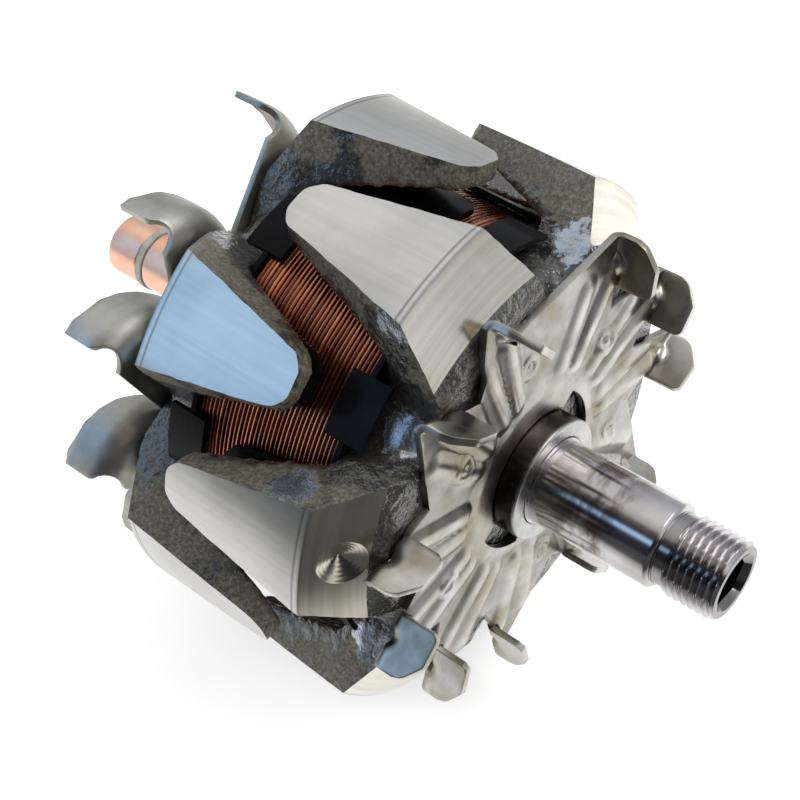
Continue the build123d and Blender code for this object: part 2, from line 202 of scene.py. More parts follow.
# Camera, fitted to the photograph
CAMERA_AZIMUTH = 40.138
CAMERA_ELEVATION = 42.172
CAMERA_DISTANCE = 304.549
CAMERA_SIDE = -0.809
CAMERA_LIFT = -0.695
CAMERA_LENS = 69.42

# Where the pale table ends towards the viewer, as polished metal sees it, in metres
TABLE_FRONT = (0.64, -0.77, 0.0)
TABLE_PALE = 0.036
TABLE_END = 0.088


def place(x, y, z):
    return ((x - SEAT_X) * MM, y * MM, z * MM)


def around(x, r, angle):
    a = radians(angle)
    return (x, -r * cos(a), r * sin(a))


def upright_turned(points, angle):
    """Points of a form that was drawn towards +Z, turned to the given angle round the shaft."""
    points = np.asarray(points, float)
    turn = radians(90 - angle)
    y = points[:, 1] * cos(turn) - points[:, 2] * sin(turn)
    z = points[:, 1] * sin(turn) + points[:, 2] * cos(turn)
    return np.stack([points[:, 0], y, z], 1)


def new_piece(name, verts, faces):
    """Mesh object from points in millimetres; cutters and the floor have no slot."""
    placed = (np.asarray(verts, float) - (SEAT_X, 0, 0)) * MM
    mesh = bpy.data.meshes.new(name)
    mesh.from_pydata(placed.tolist(), [], [tuple(f) for f in faces])
    mesh.validate()
    piece = bpy.data.objects.new(name, mesh)
    bpy.context.scene.collection.objects.link(piece)
    return piece


def outward(piece, weld=False):
    """Turns all faces outward, once points that coincide are joined if asked for."""
    bm = bmesh.new()
    bm.from_mesh(piece.data)
    if weld:
        bmesh.ops.remove_doubles(bm, verts=bm.verts, dist=1e-7)
    bmesh.ops.recalc_face_normals(bm, faces=bm.faces)
    bm.to_mesh(piece.data)
    bm.free()


def shade_smooth(piece, angle=35.0):
    piece.data.polygons.foreach_set("use_smooth", [True] * len(piece.data.polygons))
    piece.data.set_sharp_from_angle(angle=radians(angle))


def apply_modifiers(piece):
    depsgraph = bpy.context.evaluated_depsgraph_get()
    mesh = bpy.data.meshes.new_from_object(piece.evaluated_get(depsgraph))
    piece.modifiers.clear()
    old = piece.data
    piece.data = mesh
    bpy.data.meshes.remove(old)


# Turned forms

def rounded(profile, radius, steps=3):
    """The closed (x, r) outline with eased corners and points beside them that keep flats flat."""
    hold = 0.04
    points = [np.array(p, float) for p in profile]
    result = []
    count = len(points)
    for i, corner in enumerate(points):
        before = points[i - 1] - corner
        after = points[(i + 1) % count] - corner
        reach = min(radius, 0.45 * np.linalg.norm(before), 0.45 * np.linalg.norm(after))
        start = corner + before / np.linalg.norm(before) * reach
        end = corner + after / np.linalg.norm(after) * reach
        result.append(start + before * hold)
        for k in range(steps + 1):
            t = k / steps
            result.append((1 - t) ** 2 * start + 2 * t * (1 - t) * corner + t ** 2 * end)
        result.append(end + after * hold)
    return result


def ring_mesh(rows, closed, segments):
    """Faces of a grid of rows by segments that closes round the shaft."""
    faces = []
    count = rows if closed else rows - 1
    for i in range(count):
        j = (i + 1) % rows
        for k in range(segments):
            m = (k + 1) % segments
            faces.append((i * segments + k, j * segments + k, j * segments + m, i * segments + m))
    return faces


def ring_points(profile, segments):
    """Points of an (x, r) outline, each set round the shaft."""
    angles = [2 * pi * k / segments for k in range(segments)]
    return [(x, -r * cos(a), r * sin(a)) for x, r in profile for a in angles]


def turned(name, profile, segments=128):
    """Solid of revolution of a closed (x, r) outline that stays clear of the axis."""
    verts = ring_points(profile, segments)
    piece = new_piece(name, verts, ring_mesh(len(profile), True, segments))
    outward(piece)
    shade_smooth(piece)
    return piece


def shaft():
    """Shaft with its journals, thread, hexagon socket and lead slots."""
    segments = 192
    angles = np.arange(segments) * 2 * pi / segments
    verts = []

    def row(x, r):
        r = r * np.ones(segments)
        verts.extend(np.stack([x * np.ones(segments), -r * np.cos(angles), r * np.sin(angles)], 1))

    ease = CORNER_EASE
    closing_r = 0.4
    for x, r in [
        (STUB_END_X, closing_r), (STUB_END_X, STUB_R), (SHAFT_REAR_X, STUB_R),
        (SHAFT_REAR_X, REAR_SEAT_R - EDGE_BREAK), (SHAFT_REAR_X + EDGE_BREAK, REAR_SEAT_R),
        (SHAFT_REAR_X + EDGE_BREAK + FLAT_HOLD, REAR_SEAT_R), (REAR_COLLAR_X, REAR_SEAT_R),
        (REAR_COLLAR_X, REAR_COLLAR_SEAT_R),
        (-FACE_X, REAR_COLLAR_SEAT_R), (-FACE_X, BODY_SEAT_R), (FACE_X, BODY_SEAT_R),
        (FACE_X, FRONT_COLLAR_SEAT_R), (FRONT_COLLAR_X, FRONT_COLLAR_SEAT_R),
        (FRONT_COLLAR_X, FRONT_SEAT_R),
        (JOURNAL_END_X - EDGE_BREAK - ease - FLAT_HOLD, FRONT_SEAT_R),
        (JOURNAL_END_X - EDGE_BREAK - ease, FRONT_SEAT_R),
        (JOURNAL_END_X - EDGE_BREAK, FRONT_SEAT_R - ease / 3),
        (JOURNAL_END_X - ease / 2, FRONT_SEAT_R - EDGE_BREAK),
        (JOURNAL_END_X, FRONT_SEAT_R - EDGE_BREAK - ease),
        (JOURNAL_END_X, THREAD_ROOT_R + ease), (JOURNAL_END_X + ease, THREAD_ROOT_R),
        (JOURNAL_END_X + ease + FLAT_HOLD, THREAD_ROOT_R), (RELIEF_END_X, THREAD_ROOT_R),
    ]:
        row(x, r)
    for x in np.arange(RELIEF_END_X + THREAD_STEP, SHAFT_FRONT_X, THREAD_STEP):
        phase = (x / THREAD_PITCH + angles / (2 * pi)) % 1
        flank = np.clip(np.abs(phase - 0.5) * 2 * THREAD_FLANK - THREAD_ROOT_FLAT, 0, 1)
        crest = THREAD_ROOT_R + (THREAD_R - THREAD_ROOT_R) * flank
        limit = min(THREAD_R, THREAD_ROOT_R + min(x - RELIEF_END_X, SHAFT_FRONT_X - x))
        row(x, np.minimum(crest, limit))
    half = radians(30)
    hexagon = SOCKET_FLATS / 2 / np.cos((angles % (2 * half)) - half)
    rim = SOCKET_RIM_R - SOCKET_FLATS / 2
    row(SHAFT_FRONT_X, THREAD_ROOT_R)
    row(SHAFT_FRONT_X, SOCKET_RIM_R + ease)
    row(SHAFT_FRONT_X - ease, SOCKET_RIM_R)
    row(SHAFT_FRONT_X - rim, hexagon)
    row(SHAFT_FRONT_X - SOCKET_DEPTH, hexagon)
    row(SHAFT_FRONT_X - SOCKET_DEPTH - SOCKET_POINT, closing_r / 2)
    faces = ring_mesh(len(verts) // segments, False, segments)
    faces.append(tuple(range(segments)))
    faces.append(tuple(range(len(verts) - segments, len(verts))))
    piece = new_piece("shaft_turned", verts, faces)
    outward(piece)
    for angle in (FRONT_PHASE, FRONT_PHASE + 180):
        boolean(piece, lead_slot(angle), "DIFFERENCE")
    shade_smooth(piece, 30)
    return piece


def lead_slot(angle):
    """Cutter of the groove in which a lead runs from the rear end of the shaft."""
    half = SLOT_WIDTH / 2
    past = 1.0
    top = BODY_SEAT_R + 3 * past
    verts = [(x, side, r) for x in (SHAFT_REAR_X - past, SLOT_END_X)
             for side, r in ((-half, SLOT_FLOOR_R), (half, SLOT_FLOOR_R), (half, top), (-half, top))]
    faces = [(0, 1, 2, 3), (4, 5, 6, 7)] + [(k, (k + 1) % 4, (k + 1) % 4 + 4, k + 4) for k in range(4)]
    piece = new_piece("lead_slot", upright_turned(verts, angle), faces)
    outward(piece)
    return piece


def winding():
    """Outer layer of the coil, turn by turn along a helix, on a solid ring of wire."""
    segments = 180
    angles = np.arange(segments) * 2 * pi / segments
    turns = int(2 * WINDING_HALF / WIRE_PITCH)
    rows = turns * WIRE_SAMPLES
    verts = []
    for i in range(rows + 1):
        x = -WINDING_HALF + 2 * WINDING_HALF * i / rows
        for a in angles:
            turn = i / WIRE_SAMPLES + a / (2 * pi)
            phase = turn % 1
            lift = blender_noise.noise(Vector((int(turn) * 3.1, 2 * cos(a), 2 * sin(a))))
            bulge = (1 - (2 * phase - 1) ** 2) ** 0.5
            r = WINDING_R - WIRE_DEPTH + WIRE_DEPTH * bulge - WIRE_UNEVEN + WIRE_UNEVEN * lift
            verts.append((x, -r * cos(a), r * sin(a)))
    for x in (WINDING_HALF, -WINDING_HALF):
        for a in angles:
            verts.append((x, -WINDING_INNER_R * cos(a), WINDING_INNER_R * sin(a)))
    piece = new_piece("winding_turns", verts, ring_mesh(rows + 3, True, segments))
    outward(piece)
    shade_smooth(piece, 60)
    return piece


# Forged and machined pole halves

def half_width(x, z):
    """Half width of a claw at station x and height z over the shaft."""
    share = min(max((x + TIP_REACH) / (SHOULDER_X + TIP_REACH), 0), 1)
    angle = TIP_HALF_ANGLE + share * (ROOT_HALF_ANGLE - TIP_HALF_ANGLE)
    tip_share = TIP_FLARE / FLANK_FLARE
    flare = FLANK_FLARE * (tip_share + (1 - tip_share) * share)
    return POLE_R * sin(radians(angle)) + flare * (POLE_R - z) / (POLE_R - UNDERSIDE_R)


def claw_section(x, r_bottom, corner, across=9):
    """Closed loop of points round a claw at station x, the claw pointing to +Z."""
    r_top = POLE_R + FORGING_ALLOWANCE
    top = half_width(x, r_top) - corner
    bottom = half_width(x, r_bottom) - corner
    loop = []
    for k in range(across):
        y = top * (2 * k / (across - 1) - 1)
        loop.append((x, y, (r_top ** 2 - y ** 2) ** 0.5))
    for k in range(across):
        y = bottom * (1 - 2 * k / (across - 1))
        loop.append((x, y, (r_bottom ** 2 - y ** 2) ** 0.5))
    return loop


def claw_blank(angle, x_sign):
    """Closed mesh of one forged claw, before turning."""
    low = VALLEY_FRONT_R * cos(radians(PITCH / 2))
    slope = (POLE_R - TIP_THICKNESS - UNDERSIDE_R) / (TIP_REACH + CORE_HALF)
    stations = [(-TIP_REACH, TIP_CORNER), (-TIP_REACH + TIP_CORNER, 0)]
    stations += [(x, 0) for x in np.linspace(-TIP_REACH + 2 * TIP_CORNER, CORE_HALF, 10)]
    loops = []
    for x, corner in stations:
        r_bottom = POLE_R - TIP_THICKNESS - slope * (x + TIP_REACH)
        loops.append(claw_section(x, r_bottom, corner))
    for x in (CORE_HALF + 0.01, SHOULDER_X, FACE_X):
        loops.append(claw_section(x, low, 0))
    size = len(loops[0])
    verts = np.array([p for loop in loops for p in loop])
    verts = upright_turned(verts, angle) * (x_sign, 1, 1)
    faces = ring_mesh(len(loops), False, size)
    faces.append(tuple(range(size)))
    faces.append(tuple(range(len(verts) - size, len(verts))))
    return verts, faces


def forging(name, phase, x_sign):
    """Rough forging of a pole half: six claws fused to a hub."""
    verts = []
    faces = []
    for k in range(POLE_PAIRS):
        more, links = claw_blank(phase + k * PITCH, x_sign)
        faces += [tuple(v + len(verts) for v in f) for f in links]
        verts += list(more)
    chamfer = VALLEY_R - VALLEY_FRONT_R
    hub = [(CORE_HALF, HUB_BORE_R), (CORE_HALF, VALLEY_R), (FACE_X - chamfer, VALLEY_R),
           (FACE_X, VALLEY_FRONT_R), (FACE_X, HUB_BORE_R)]
    segments = 96
    start = len(verts)
    verts += ring_points([(x * x_sign, r) for x, r in hub], segments)
    faces += [tuple(v + start for v in f) for f in ring_mesh(len(hub), True, segments)]
    piece = new_piece(name, verts, faces)
    outward(piece)
    remesh = piece.modifiers.new("fuse", "REMESH")
    remesh.mode = "VOXEL"
    remesh.voxel_size = FORGING_VOXEL * MM
    smooth = piece.modifiers.new("soften", "SMOOTH")
    smooth.factor = 0.5
    smooth.iterations = 4
    apply_modifiers(piece)
    roughen(piece, FORGING_RELIEF, FORGING_GRAIN)
    return piece


def roughen(piece, depth, scale):
    """Moves the forged skin in and out along its normals by up to depth, in millimetres."""
    mesh = piece.data
    normals = np.array([v.normal for v in mesh.vertices])
    points = np.array([v.co for v in mesh.vertices])
    shift = np.array([blender_noise.fractal(Vector(p) * scale, 0.8, 2.2, 3) for p in points])
    points += normals * (shift * depth * MM)[:, None]
    mesh.vertices.foreach_set("co", points.ravel())


def boolean(piece, other, operation):
    """Cuts or joins a piece with another, which is used up."""
    step = piece.modifiers.new("cut", "BOOLEAN")
    step.operation = operation
    step.solver = "EXACT"
    step.object = other
    apply_modifiers(piece)
    bpy.data.objects.remove(other)


def envelope(name, x_sign):
    """The lathe's cuts: pole diameter, shoulder cone, end face and bore."""
    past_tip = -TIP_REACH - 2
    profile = [
        (past_tip, BODY_SEAT_R), (past_tip, POLE_R), (SHOULDER_X, POLE_R),
        (SHOULDER_END_X, SHOULDER_END_R), (FACE_X, FACE_EDGE_R), (FACE_X, BODY_SEAT_R),
    ]
    return turned(name, [(x * x_sign, r) for x, r in profile], 240)


def set_pole_normals(piece, x_sign):
    """Gives turned faces their exact normals and material 0, and the forged skin material 1."""
    mesh = piece.data
    count = len(mesh.vertices)
    co = np.empty(count * 3)
    mesh.vertices.foreach_get("co", co)
    co = co.reshape(-1, 3) / MM + (SEAT_X, 0, 0)
    x = co[:, 0] * x_sign
    r = np.hypot(co[:, 1], co[:, 2])
    radial = np.stack([np.zeros(count), co[:, 1] / r, co[:, 2] / r], 1)
    on_cylinder = np.abs(r - POLE_R) < ON_FACE
    slope = np.array([POLE_R - SHOULDER_END_R, SHOULDER_END_X - SHOULDER_X])
    slope /= np.linalg.norm(slope)
    cone_r = POLE_R - (x - SHOULDER_X) * (POLE_R - SHOULDER_END_R) / (SHOULDER_END_X - SHOULDER_X)
    beside = (x > SHOULDER_X - ON_FACE / 2) & (x < SHOULDER_END_X + ON_FACE / 2)
    on_cone = (np.abs(r - cone_r) < 1.5 * ON_FACE) & beside
    cone_normal = radial * slope[1] + np.array([[x_sign * slope[0], 0, 0]])
    drilled = in_dimple(co) if x_sign > 0 else np.zeros(count, bool)
    kind = np.zeros(len(mesh.polygons), int)
    skin = np.zeros((count, 3))
    for face in mesh.polygons:
        v = list(face.vertices)
        if on_cylinder[v].all():
            kind[face.index] = 1
        elif on_cone[v].all():
            kind[face.index] = 2
        elif drilled[v].all():
            kind[face.index] = 3
        else:
            skin[v] += np.array(face.normal) * face.area
    skin /= np.maximum(np.linalg.norm(skin, axis=1), 1e-12)[:, None]
    loops = np.zeros((len(mesh.loops), 3))
    same_side = 0.6
    for face in mesh.polygons:
        v = list(face.vertices)
        span = slice(face.loop_start, face.loop_start + face.loop_total)
        if kind[face.index] == 1:
            loops[span] = radial[v]
        elif kind[face.index] == 2:
            loops[span] = cone_normal[v]
        elif kind[face.index] == 3:
            loops[span] = np.array(face.normal)
        else:
            flat = np.array(face.normal)
            normals = skin[v]
            normals[(normals @ flat) < same_side] = flat
            loops[span] = normals
    mesh.polygons.foreach_set("use_smooth", [True] * len(mesh.polygons))
    mesh.polygons.foreach_set("material_index", [0 if k else 1 for k in kind])
    mesh.normals_split_custom_set([tuple(n) for n in loops])


def dimple_frame():
    """Centre of the drilled cone on its claw, and the inward direction of its axis."""
    slope = np.arctan2(POLE_R - SHOULDER_END_R, SHOULDER_END_X - SHOULDER_X)
    r = POLE_R - (DIMPLE_X - SHOULDER_X) * np.tan(slope)
    angle = radians(FRONT_PHASE - DIMPLE_CLAW * PITCH)
    centre = np.array(around(DIMPLE_X, r, FRONT_PHASE - DIMPLE_CLAW * PITCH))
    radial = np.array((0, -cos(angle), sin(angle)))
    return centre, -(np.array((1, 0, 0)) * sin(slope) + radial * cos(slope))


def dimple():
    """Drill's cone with the rings that the cutting edge leaves."""
    centre, axis = dimple_frame()
    side = np.cross(axis, (0, 0, 1))
    side /= np.linalg.norm(side)
    other = np.cross(axis, side)
    segments = 72
    rows = [(-1.0, DIMPLE_R + DIMPLE_R / DIMPLE_DEPTH)]
    for k in range(DIMPLE_RINGS):
        share = k / DIMPLE_RINGS
        rows.append((DIMPLE_DEPTH * share + (DIMPLE_STEP if k % 2 else 0), DIMPLE_R * (1 - share)))
    verts = [centre + axis * depth + r * (side * cos(a) + other * sin(a))
             for depth, r in rows for a in np.arange(segments) * 2 * pi / segments]
    verts.append(centre + axis * DIMPLE_DEPTH)
    faces = ring_mesh(len(rows), False, segments)
    last = (len(rows) - 1) * segments
    faces += [(last + k, last + (k + 1) % segments, len(verts) - 1) for k in range(segments)]
    faces.append(tuple(range(segments)))
    piece = new_piece("dimple", verts, faces)
    outward(piece)
    return piece


def in_dimple(points):
    """Which points lie on the drilled cone."""
    centre, axis = dimple_frame()
    offset = points - centre
    depth = offset @ axis
    off_axis = np.linalg.norm(offset - depth[:, None] * axis, axis=1)
    return (off_axis < DIMPLE_R + 0.05) & (depth > -0.3) & (depth < DIMPLE_DEPTH + 0.1)


def pole_half(name, phase, x_sign):
    """Turned half of the pole body: the front one for x_sign 1, the rear one for -1."""
    piece = forging(name, phase, x_sign)
    boolean(piece, envelope("envelope", x_sign), "INTERSECT")
    if x_sign > 0:
        boolean(piece, dimple(), "DIFFERENCE")
    piece.data.materials.append(materials["turned_pole"])
    piece.data.materials.append(materials["forged_pole"])
    set_pole_normals(piece, x_sign)
    return piece


# Pressed sheet fans

def polar(r, angle):
    """Point (y, z) at a radius and an angle round the shaft."""
    return np.array((-r * cos(radians(angle)), r * sin(radians(angle))))


def grid_faces(start, rows, columns):
    """Faces of a grid of points that begins at a given point."""
    width = columns + 1
    firsts = [start + j * width + k for j in range(rows) for k in range(columns)]
    return [(a, a + 1, a + width + 1, a + width) for a in firsts]


def steps_between(a, b, spacing):
    """Points from a up to, but without, b."""
    count = max(1, int(np.linalg.norm(b - a) / spacing))
    return [a + (b - a) * k / count for k in range(count)]


def inside(points, loops):
    """Even-odd test of points against closed loops."""
    x, y = points[:, 0], points[:, 1]
    odd = np.zeros(len(points), bool)
    for loop in loops:
        for (x0, y0), (x1, y1) in zip(loop, np.roll(loop, -1, axis=0)):
            if y0 != y1:
                crosses = (y < y0) != (y < y1)
                odd ^= crosses & (x < x0 + (y - y0) * (x1 - x0) / (y1 - y0))
    return odd


def flat_sheet(loops, spacing):
    """Triangles that fill the area between closed loops of sampled points."""
    loops = [np.array(loop) for loop in loops]
    edge = np.concatenate(loops)
    reach = np.abs(edge).max()
    steps = np.arange(-reach, reach, spacing)
    grid = np.array([(a, b + (i % 2) * spacing / 2) for i, a in enumerate(steps) for b in steps])
    grid = grid[inside(grid, loops)]
    clear = [np.hypot(*(edge - p).T).min() > 0.55 * spacing for p in grid]
    points = np.concatenate([edge, grid[clear]])
    links = []
    start = 0
    for loop in loops:
        links += [(start + k, start + (k + 1) % len(loop)) for k in range(len(loop))]
        start += len(loop)
    made = delaunay_2d_cdt([Vector(p) for p in points], links, [], 1, 1e-6)
    verts = np.array([tuple(v) for v in made[0]])
    faces = [f for f in made[2] if len(f) == 3]
    middles = np.array([verts[list(f)].mean(axis=0) for f in faces])
    return verts, [f for f, keep in zip(faces, inside(middles, loops)) if keep]


def swell(distance, reach):
    """Smooth rise from 0 at the reach to 1 in the middle."""
    return np.clip(1 - (distance / reach) ** 2, 0, 1) ** 2


def ridge(points, start, end, height, half_width):
    """Rounded ridge along a line, fading at both ends."""
    along = end - start
    length = np.linalg.norm(along)
    along = along / length
    offset = points - start
    s = offset @ along
    beyond = np.maximum(np.maximum(-s, s - length), 0)
    side = offset @ np.array((-along[1], along[0]))
    return height * swell(np.hypot(side, beyond), half_width)


def ring_loop(r, spacing, notch_r=None, angles=(), half_angle=0):
    """Closed circle, set out to a second radius over the given arcs."""
    loop = []
    count = int(2 * pi * r / spacing)
    for k in range(count):
        a = 360 * k / count
        wide = any(abs((a - m + 180) % 360 - 180) < half_angle for m in angles)
        loop.append(polar(notch_r if wide else r, a))
    return loop


def thicken(piece, thickness, edge):
    """Gives a mid-surface its thickness and eases the sheared edges."""
    solid = piece.modifiers.new("thickness", "SOLIDIFY")
    solid.thickness = thickness * MM
    solid.offset = 0
    ease = piece.modifiers.new("edges", "BEVEL")
    ease.width = edge * MM
    ease.segments = 2
    ease.limit_method = "ANGLE"
    ease.angle_limit = radians(55)
    apply_modifiers(piece)
    shade_smooth(piece, 50)


def fold_frame(phi):
    """Root of a front blade's fold line, its direction, the side it rises from and its length."""
    root = polar(BLADE_IN_R, phi)
    rim = polar(BLADE_OUT_R, phi - BLADE_LEAN_ANGLE)
    length = np.linalg.norm(rim - root)
    along = (rim - root) / length
    return root, along, np.array((-along[1], along[0])) * -1, length


def gusset(s, u, length):
    """Rise of the gusset at s along a fold of a given length and u across it."""
    middle = FOLD_R * (pi / 4 - 1)
    return GUSSET_HEIGHT * swell(np.hypot(s - GUSSET_PLACE * length, u - middle), GUSSET_R)


def front_relief(points):
    """Height of the pressed ribs, hub ring, weld pads and gussets over the flat sheet."""
    r = np.hypot(points[:, 0], points[:, 1])
    height = HUB_RING * np.clip((HUB_RING_R + 1 - r) / 2, 0, 1)
    ribs = np.zeros(len(points))
    for i, phi in enumerate(FRONT_BLADE_ANGLES):
        before = (phi - FRONT_BLADE_ANGLES[i - 1]) % 360
        trail = min(before - ARM_NOTCH_ANGLE - TRAILING_RIB_CLEAR, TRAILING_RIB_ANGLE)
        for (behind, end_behind), end_r, rise in (
            (LEADING_RIB_ANGLES, LEADING_RIB_END_R, RIB_HEIGHT),
            ((trail, trail * TRAILING_RIB_TAPER), TRAILING_RIB_END_R, RIB_HEIGHT * TRAILING_RIB_SHARE),
        ):
            start, end = polar(RIB_START_R, phi - behind), polar(end_r, phi - end_behind)
            ribs = np.maximum(ribs, ridge(points, start, end, rise, RIB_HALF_WIDTH))
    height += ribs
    for angle in WELD_ANGLES:
        d = np.hypot(*(points - polar(WELD_R, angle)).T)
        rim = WELD_RIM * WELD_PAD_R
        height += WELD_PAD * (swell(d - (WELD_PAD_R - rim), rim) + WELD_CENTRE * swell(d, rim))
    for phi in FRONT_BLADE_ANGLES:
        root, along, side, length = fold_frame(phi)
        offset = points - root
        height += gusset(offset @ along, offset @ side, length)
    return height


def front_fan():
    """Pressed star of sheet with a folded blade on the leading edge of each arm."""
    outline = []
    folds = []
    count = len(FRONT_BLADE_ANGLES)
    for i, phi in enumerate(FRONT_BLADE_ANGLES):
        root, along, side, length = fold_frame(phi)
        steps = int(length / SHEET_GRID)
        line = [root + along * length * (1 - k / steps) - side * FOLD_R for k in range(steps + 1)]
        folds.append((root, along, side, length, steps))
        after = FRONT_BLADE_ANGLES[(i + 1) % count]
        wide = (after - phi) % 360 > WIDE_GAP_ANGLE
        notch = polar(ARM_WIDE_NOTCH_R if wide else ARM_NOTCH_R, phi + ARM_NOTCH_ANGLE)
        next_root, next_along, next_side, next_length = fold_frame(after)
        next_rim = next_root + next_along * next_length - next_side * FOLD_R
        outline += line
        outline += steps_between(root - side * 0.2, notch, SHEET_GRID)
        outline += steps_between(notch, next_rim, SHEET_GRID)
    hole = ring_loop(FAN_HOLE_R, SHEET_GRID, FAN_NOTCH_R, FAN_NOTCH_ANGLES, FAN_NOTCH_HALF_ANGLE)
    flat, faces = flat_sheet([outline, hole], SHEET_GRID)
    middle_x = FACE_X + FAN_SHEET / 2
    verts = list(np.column_stack([middle_x + front_relief(flat), flat]))
    top = BLADE_HEIGHT + FAN_SHEET / 2 - (2 - pi / 2) * FOLD_R
    shoulder = top - (BLADE_HEIGHT - BLADE_SHOULDER)
    for root, along, side, length, steps in folds:
        start = len(verts)
        for j in range(BLADE_ROWS + 1):
            for k in range(steps + 1):
                s = length * (1 - k / steps)
                cut = max(0, (s - BLADE_CROWN) / (length - BLADE_CROWN))
                high = top - cut * (top - shoulder)
                ease = max(0, BLADE_CORNER - s, BLADE_CORNER - (length - s))
                high -= BLADE_CORNER - (BLADE_CORNER ** 2 - ease ** 2) ** 0.5
                u = -FOLD_R + (high + FOLD_R) * j / BLADE_ROWS
                turn = min((u + FOLD_R) / FOLD_R, pi / 2)
                straight = max(0, u + FOLD_R - FOLD_R * pi / 2)
                w = -FOLD_R + FOLD_R * sin(turn)
                lift = FOLD_R * (1 - cos(turn)) + straight
                dent = gusset(s, u, length)
                point = root + along * s + side * (w - dent * sin(turn))
                verts.append((middle_x + lift + dent * cos(turn), *point))
        faces += grid_faces(start, BLADE_ROWS, steps)
    piece = new_piece("front_fan_pressed", verts, faces)
    outward(piece, weld=True)
    thicken(piece, FAN_SHEET, FAN_EDGE)
    return piece


def curl_point(r, direction):
    """Point (y, z) at radius r from the curl's centre of a rear blade towards +Z."""
    lean = radians(REAR_CURL_ANGLE)
    a = radians(direction)
    return np.array((-REAR_CURL_R * sin(lean) + r * sin(a),
                     REAR_TIP_R - REAR_CURL_R * cos(lean) + r * cos(a)))


def turned_point(point, angle):
    """Point (y, z) of a blade towards +Z, turned to the given angle round the shaft."""
    r = np.hypot(*point)
    return polar(r, angle + np.degrees(np.arctan2(point[0], point[1])))


def rear_limits(x):
    """Least and greatest distance of a rear blade from the shaft's axis at station x."""
    foot_out = np.hypot(*curl_point(REAR_CURL_R - REAR_BEND, REAR_FOOT_ANGLES[0]))
    foot_in = np.hypot(*curl_point(REAR_CURL_R - REAR_BEND, REAR_FOOT_ANGLES[1]))
    least = np.interp(x, REAR_EDGE_X + (-FACE_X - REAR_SHEET / 2,), REAR_EDGE_R + (foot_in,))
    most = np.interp(x, [-FACE_X - REAR_BEND, -FACE_X - REAR_SHEET / 2], [REAR_TIP_R, foot_out])
    return least, most


def rear_fan():
    """Pressed disc with curled blades swept back from its rim."""
    fold_r = REAR_CURL_R - REAR_BEND
    first, last = REAR_FOOT_ANGLES
    samples = 400
    disc_x = -FACE_X - REAR_SHEET / 2
    outline = []
    count = len(REAR_BLADE_ANGLES)
    for i, phi in enumerate(REAR_BLADE_ANGLES):
        fold = [turned_point(curl_point(fold_r, first + (last - first) * k / REAR_COLUMNS), phi)
                for k in range(REAR_COLUMNS + 1)]
        after = turned_point(curl_point(fold_r, first), REAR_BLADE_ANGLES[(i + 1) % count])
        outline += fold[:-1] + steps_between(fold[-1], after, SHEET_GRID)
    flat, faces = flat_sheet([outline, ring_loop(REAR_HOLE_R, SHEET_GRID)], 1.5 * SHEET_GRID)
    verts = list(np.column_stack([np.full(len(flat), disc_x), flat]))
    profile = [(disc_x - REAR_BEND * (1 - cos(a)), fold_r + REAR_BEND * sin(a))
               for a in np.linspace(0, pi / 2, 9)]
    profile += [(x, REAR_CURL_R) for x in np.linspace(disc_x - REAR_BEND, REAR_TIP_X + 0.15, 10)[1:]]
    directions = np.linspace(first, last, samples)
    for phi in REAR_BLADE_ANGLES:
        start = len(verts)
        for x, r in profile:
            reach = np.array([np.hypot(*curl_point(r, d)) for d in directions])
            least, most = rear_limits(x)
            kept = directions[(reach >= least - 1e-6) & (reach <= most + 1e-6)]
            lo, hi = (kept[0], kept[-1]) if len(kept) else (REAR_CURL_ANGLE, REAR_CURL_ANGLE + 0.5)
            if r == fold_r:
                lo, hi = first, last
            for k in range(REAR_COLUMNS + 1):
                point = turned_point(curl_point(r, lo + (hi - lo) * k / REAR_COLUMNS), phi)
                verts.append((x, *point))
        faces += grid_faces(start, len(profile) - 1, REAR_COLUMNS)
    piece = new_piece("rear_fan_pressed", verts, faces)
    outward(piece, weld=True)
    thicken(piece, REAR_SHEET, REAR_EDGE)
    return piece


# Materials

